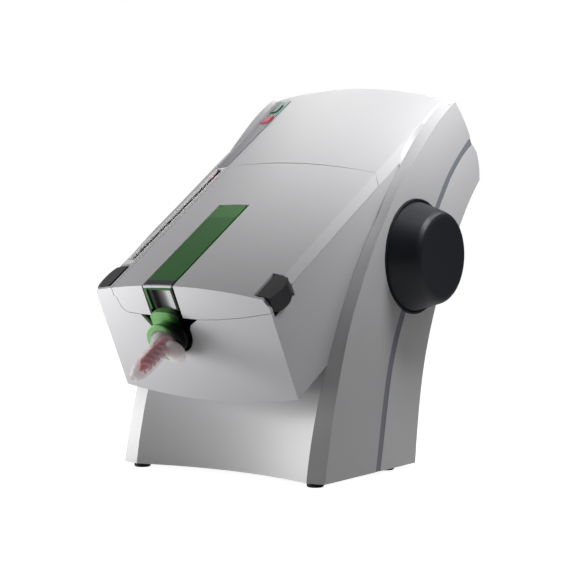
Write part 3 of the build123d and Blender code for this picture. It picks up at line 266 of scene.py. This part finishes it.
# Collar: mint on the left, darkening to near-black on the right as painted shade.
GREEN = ramp_mat("collar_plastic", [(-41, (0.19, 0.38, 0.16)), (-28, (0.17, 0.36, 0.14)), (-19, (0.11, 0.28, 0.085)), (-14, (0.008, 0.05, 0.008)), (-9.5, (0.001, 0.003, 0.001))], -45.0, 0.0, axis=(1.0, 0.0, 0.0), rough=0.42, spec=0.2)
KEYPAD = ramp_mat("keypad_film", [(200, (0.235, 0.24, 0.26)), (302, (0.235, 0.24, 0.26)), (303, (0.16, 0.30, 0.25)), (326.3, (0.16, 0.30, 0.25)), (326.6, (0.27, 0.28, 0.29))], 200.0, 335.0, rough=0.42)
MATS["cartridge_label"] = LABEL
MATS["cartridge_body"] = SPINE
MATS["cartridge_neck_insert"] = CHANNEL
MATS["cartridge_collar"] = GREEN
MATS["keypad_strip"] = KEYPAD
for name in ("cartridge_label", "cartridge_body", "cartridge_neck_insert", "cartridge_collar", "keypad_strip"):
    NODES[name].data.materials.clear()
    NODES[name].data.materials.append(MATS[name])


# ------------------------------------------------------------------ detailed pieces
def mesh_obj(name, verts, faces, mat, smooth=True, head_local=True):
    me = bpy.data.meshes.new(name)
    me.from_pydata([tuple(hp(*v)) if head_local else tuple(v) for v in verts], [], faces)
    me.validate()
    bm = bmesh.new()
    bm.from_mesh(me)
    bmesh.ops.recalc_face_normals(bm, faces=bm.faces)
    bm.to_mesh(me)
    bm.free()
    for poly in me.polygons:
        poly.use_smooth = smooth
    me.materials.append(mat)
    o = bpy.data.objects.new(name, me)
    scene.collection.objects.link(o)
    return o


def ring_points(cx, cv, u, r, n, tilt=0.0):
    return [(cx + r * math.cos(2 * math.pi * k / n + tilt), u, cv + r * math.sin(2 * math.pi * k / n + tilt)) for k in range(n)]


def lathe_u(name, profile, cx, cv, mat, n=96):
    """Closed profile of (u, r) turned about the line through (cx, cv)."""
    verts, faces = [], []
    rows = []
    for u, r in profile:
        if r < 1e-6:
            rows.append([len(verts)] * n)
            verts.append((cx, u, cv))
        else:
            rows.append(list(range(len(verts), len(verts) + n)))
            verts += ring_points(cx, cv, u, r, n)
    m = len(rows)
    for i in range(m):
        a, b = rows[i], rows[(i + 1) % m]
        if a[0] == a[1] and b[0] == b[1]:
            continue
        for k in range(n):
            j = (k + 1) % n
            f = [a[k], a[j], b[j], b[k]]
            g = []
            for q in f:
                if q not in g:
                    g.append(q)
            if len(g) > 2:
                faces.append(g)
    return mesh_obj(name, verts, faces, mat)


def helix_blade(name, cx, cv, r0, r1, u0, u1, pitch, thick, phase, mat, steps=140, taper=0.0):
    verts, faces = [], []
    for i in range(steps + 1):
        t = i / steps
        u = u0 + (u1 - u0) * t
        ang = phase + 2 * math.pi * (u - u0) / pitch
        rr1 = r1 * (1 - taper * t)
        for r in (r0, rr1):
            for w in (-thick / 2, thick / 2):
                verts.append((cx + r * math.cos(ang), u + w, cv + r * math.sin(ang)))
    for i in range(steps):
        a, b = 4 * i, 4 * (i + 1)
        faces += [[a, a + 2, b + 2, b], [a + 1, b + 1, b + 3, a + 3], [a + 2, a + 3, b + 3, b + 2], [a, b, b + 1, a + 1]]
    faces += [[0, 1, 3, 2], [4 * steps, 4 * steps + 2, 4 * steps + 3, 4 * steps + 1]]
    return mesh_obj(name, verts, faces, mat)


core = lathe_u("rotor_core", [(12.0, 5.2), (-6.0, 5.2), (-8.0, 3.6), (-48.0, 3.4), (-55.0, 0.6), (-55.0, 0.0), (-4.0, 0.0), (-4.0, 3.3), (12.0, 3.3)], AX, AV, ROTOR_CORE, 48)
blades = [helix_blade("rotor_blade_%d" % k, AX, AV, 2.0, 6.3, -9.5, -50.0, -12.4, 1.5, math.pi * k, ROTOR, steps=200, taper=0.0) for k in range(2)]
for o in [core] + blades:
    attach(o, "mixer_drive")
    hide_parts("mixing_rotor")

# mixing tip with a blunt clear end, and the rounded lobe beside it
tip_shell = lathe_u("tip_shell", [(5.6, 13.6), (-14.4, 13.9), (-16.2, 13.6), (-17.6, 12.9), (-20.5, 10.3), (-22.5, 9.6), (-25.0, 9.2), (-51.0, 8.6), (-54.5, 8.3), (-57.2, 7.5),
                                  (-60.0, 6.4), (-62.8, 5.3), (-65.95, 3.65), (-65.95, 2.6), (-62.5, 4.4), (-59.5, 5.6), (-56.5, 6.7), (-53.5, 7.4), (-50.4, 7.6), (-25.0, 8.1),
                                  (-22.2, 8.5), (-20.0, 9.1), (-16.4, 12.3), (5.6, 12.2)], AX, AV, TIP, 96)
tip_lobe = lathe_u("tip_lobe", [(-15.6, 0.0), (-15.6, 10.8), (-16.4, 11.4), (-18.4, 10.6), (-20.4, 7.6), (-21.0, 3.0), (-21.1, 0.0)], -12.0, -48.8, LOBE, 72)
for o in (tip_shell, tip_lobe):
    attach(o, "housing")
    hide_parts("mixing_tip")


def head_box(name, x0, x1, u0, u1, t0, t1, mat, rows=6):
    """Thin strip that follows the crown between two depths under it."""
    verts, faces = [], []
    for i in range(rows + 1):
        x = x0 + (x1 - x0) * i / rows
        verts += [(x, u0, vt(x, t0)), (x, u1, vt(x, t0)), (x, u1, vt(x, t1)), (x, u0, vt(x, t1))]
    for i in range(rows):
        a, b = 4 * i, 4 * (i + 1)
        for k in range(4):
            faces.append([a + k, a + (k + 1) % 4, b + (k + 1) % 4, b + k])
    faces += [[0, 3, 2, 1], [4 * rows, 4 * rows + 1, 4 * rows + 2, 4 * rows + 3]]
    return mesh_obj(name, verts, faces, mat, smooth=False)


# foil bags, pleated along their length, in front of their plungers, and coil springs under the release buttons
def foil_bag(name, cx, r, node):
    rows = [(22.2, r - 3.2), (24.0, r - 1.0), (27.0, r - 0.3)]
    for i in range(1, 30):
        u = 27.0 + 116.0 * i / 30
        rows.append((u, r - 0.25 - 0.35 * (i % 2) - 0.1 * random.random()))
    rows += [(145.0, r - 0.4), (150.0, r - 1.3), (152.2, r * 0.6), (153.1, 2.0), (153.1, 0.0), (22.2, 0.0)]
    o = lathe_u(name, rows, cx, AV, FOIL, 64)
    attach(o, "housing")
    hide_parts(node)
    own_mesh(o)


foil_bag("foil_bag_base", 9.7, 22.9, "base_foil_bag")
foil_bag("foil_bag_catalyst", -42.0, 11.3, "catalyst_foil_bag")


def coil(name, side):
    """Coil spring along X between the deck's upright and the button."""
    xa, xb, r, w, turns, n, ring = 80.35, 92.15, 2.7, 0.42, 5.0, 120, 8
    verts, faces = [], []
    for i in range(n + 1):
        t = i / n
        a = 2 * math.pi * turns * t
        x = xa + w + (xb - xa - 2 * w) * t
        for k in range(ring):
            b = 2 * math.pi * k / ring
            rr = r + w * math.cos(b)
            verts.append((side * (x + w * math.sin(b)), 20.0 + rr * math.cos(a), -8.6 + rr * math.sin(a)))
    for i in range(n):
        for k in range(ring):
            a, b = ring * i + k, ring * i + (k + 1) % ring
            faces.append([a, b, b + ring, a + ring])
    faces += [list(range(ring)), list(range(ring * n, ring * n + ring))]
    o = mesh_obj(name, verts, faces, STEEL)
    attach(o, "housing")
    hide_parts("release_springs")
    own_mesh(o)


coil("release_coil_right", 1)
coil("release_coil_left", -1)

# scale marks at the front of the level window
for k, u in enumerate((51.0, 55.6, 60.2)):
    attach(head_box("level_tick_%d" % k, -87.2, -79.3, u, u + 1.1, 1.88, 2.03, WHITE), "housing")

# ------------------------------------------------------------------ softened edges on the mouldings
BEVELS = {
    "main_housing": 0.0008, "lid": 0.0007, "head_bottom_cover": 0.0006, "side_shell_left": 0.0006, "side_shell_right": 0.0006,
    "rear_shell": 0.0006, "stand_front_panel": 0.0005, "hand_wheel": 0.0010, "release_button_left": 0.0008, "release_button_right": 0.0008,
    "trim_strips": 0.0002, "level_window_frame": 0.0003, "start_button": 0.0004, "rewind_button": 0.0004, "keypad_strip": 0.0001,
    "cartridge_label": 0.0003, "cartridge_neck_insert": 0.0003, "power_rocker": 0.0004, "mains_inlet": 0.0004, "cartridge_body": 0.0003, "rubber_feet": 0.0005,
}
for name, w in BEVELS.items():
    b = NODES[name].modifiers.new("edge", "BEVEL")
    b.width = w
    b.segments = 3
    b.limit_method = "ANGLE"
    b.angle_limit = math.radians(28)
    b.harden_normals = True
    b.use_clamp_overlap = True

# ------------------------------------------------------------------ floor, light, camera
bpy.ops.mesh.primitive_plane_add(size=1)
floor = bpy.context.object
floor.name = "floor"
floor.scale = (1.9, 1.9, 1)
fm, fn, fl, fp = new_mat("floor_paint")
fp.inputs["Base Color"].default_value = (0.3, 0.3, 0.3, 1)
fp.inputs["Roughness"].default_value = 0.9
fp.inputs["Specular IOR Level"].default_value = 0.1
fp.inputs["Emission Color"].default_value = (1, 1, 1, 1)
flp = fn.new("ShaderNodeLightPath")
flm = fn.new("ShaderNodeMapRange")
flm.inputs["To Min"].default_value = 0.32
flm.inputs["To Max"].default_value = 0.94
fl.new(flp.outputs["Is Camera Ray"], flm.inputs["Value"])
fl.new(flm.outputs["Result"], fp.inputs["Emission Strength"])
floor.data.materials.append(fm)

world = bpy.data.worlds.new("studio")
scene.world = world
world.use_nodes = True
wn, wl = world.node_tree.nodes, world.node_tree.links
wn["Background"].inputs[0].default_value = (1, 1, 1, 1)
wn["Background"].inputs[1].default_value = 0.02
seen = wn.new("ShaderNodeBackground")
seen.inputs[0].default_value = (1, 1, 1, 1)
seen.inputs[1].default_value = 1.0
lp = wn.new("ShaderNodeLightPath")
mixs = wn.new("ShaderNodeMixShader")
wl.new(lp.outputs["Is Camera Ray"], mixs.inputs[0])
wl.new(wn["Background"].outputs[0], mixs.inputs[1])
wl.new(seen.outputs[0], mixs.inputs[2])
wl.new(mixs.outputs[0], wn["World Output"].inputs["Surface"])


def area(name, loc, target, size, power, size_y=None, color=(1, 1, 1)):
    d = bpy.data.lights.new(name, "AREA")
    d.energy = power
    d.color = color
    d.shape = "RECTANGLE"
    d.size = size
    d.size_y = size_y or size
    o = bpy.data.objects.new(name, d)
    scene.collection.objects.link(o)
    o.location = loc
    o.rotation_euler = (Vector(target) - Vector(loc)).to_track_quat("-Z", "Y").to_euler()
    o.visible_camera = False
    return o


area("left_low", (-1.20, -0.55, 0.10), (0.0, -0.02, 0.14), 0.6, 21.0)
area("left_high", (-0.95, 0.10, 0.95), (0.0, 0.0, 0.2), 0.6, 1.0)
area("rear_left", (-0.55, 0.85, 1.00), (0.0, 0.05, 0.25), 0.6, 7.0)
area("right_near", (0.24, 0.08, 0.50), (0.09, 0.06, 0.24), 0.12, 1.15)
area("rear_near", (0.20, 0.32, 0.50), (0.09, 0.08, 0.27), 0.12, 0.3)
area("right_far", (1.20, 1.00, 0.75), (0.0, 0.0, 0.18), 0.8, 1.3)
area("floor_bounce", (-0.32, -0.42, 0.006), (-0.32, -0.42, 1.0), 0.4, 3.0)

A, E, ROLL = math.radians(34.09), math.radians(4.88), math.radians(0.35)
F_PX, DIST = 2287.23, 1975.87
back = Vector((math.sin(A) * math.cos(E), -math.cos(A) * math.cos(E), math.sin(E)))
right = Vector((math.cos(A), math.sin(A), 0))
up = back.cross(right)
rr = math.cos(ROLL) * right + math.sin(ROLL) * up
uu = -math.sin(ROLL) * right + math.cos(ROLL) * up
target = Vector((78.3, -69.0, 168.52))
pos = (target + back * DIST) / 1000
cd = bpy.data.cameras.new("camera")
cd.sensor_width = 36
cd.lens = F_PX * 36 / 587
cam = bpy.data.objects.new("camera", cd)
scene.collection.objects.link(cam)
cam.matrix_world = Matrix(((rr.x, uu.x, back.x, pos.x), (rr.y, uu.y, back.y, pos.y), (rr.z, uu.z, back.z, pos.z), (0, 0, 0, 1)))
scene.camera = cam
